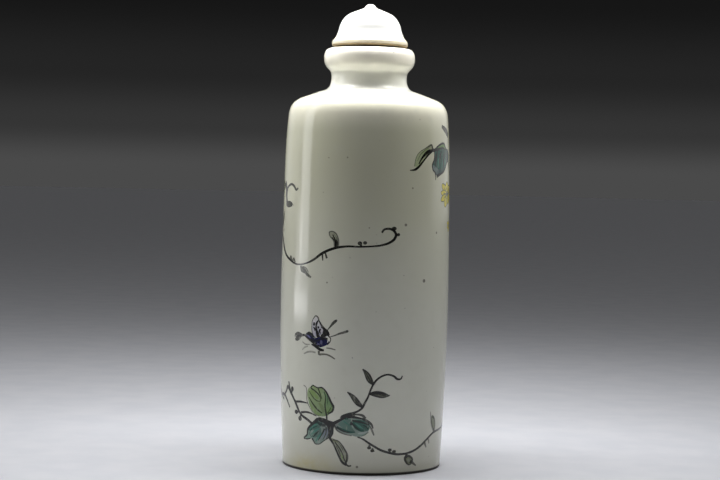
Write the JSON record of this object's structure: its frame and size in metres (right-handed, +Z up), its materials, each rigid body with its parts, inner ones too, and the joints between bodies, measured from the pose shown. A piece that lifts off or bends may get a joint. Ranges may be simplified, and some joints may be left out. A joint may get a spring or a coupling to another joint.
{
  "type": "snuff bottle",
  "caption": "Small cylindrical porcelain snuff bottle with a painted butterfly and vine, a short neck with a rolled lip, and a domed porcelain stopper on a cork.",
  "frame": {"origin": "centre of the foot, on the surface that the bottle stands on", "axes": "+Z up along the axis of the bottle, -Y towards the butterfly side of the painting, +X to the right of it"},
  "size_m": [0.0302, 0.0302, 0.083],
  "materials": {
    "painted_porcelain": "glossy pale grey-green glaze with an enamel painting, iron specks and a bare foot edge",
    "cap_porcelain": "glossy white glaze over a cream, thinly glazed rim",
    "cork": "dry brown cork"
  },
  "bodies": {
    "root": {"bottle": "painted_porcelain", "stopper_cap": "cap_porcelain", "stopper_cork": "cork"}
  },
  "joints": []
}
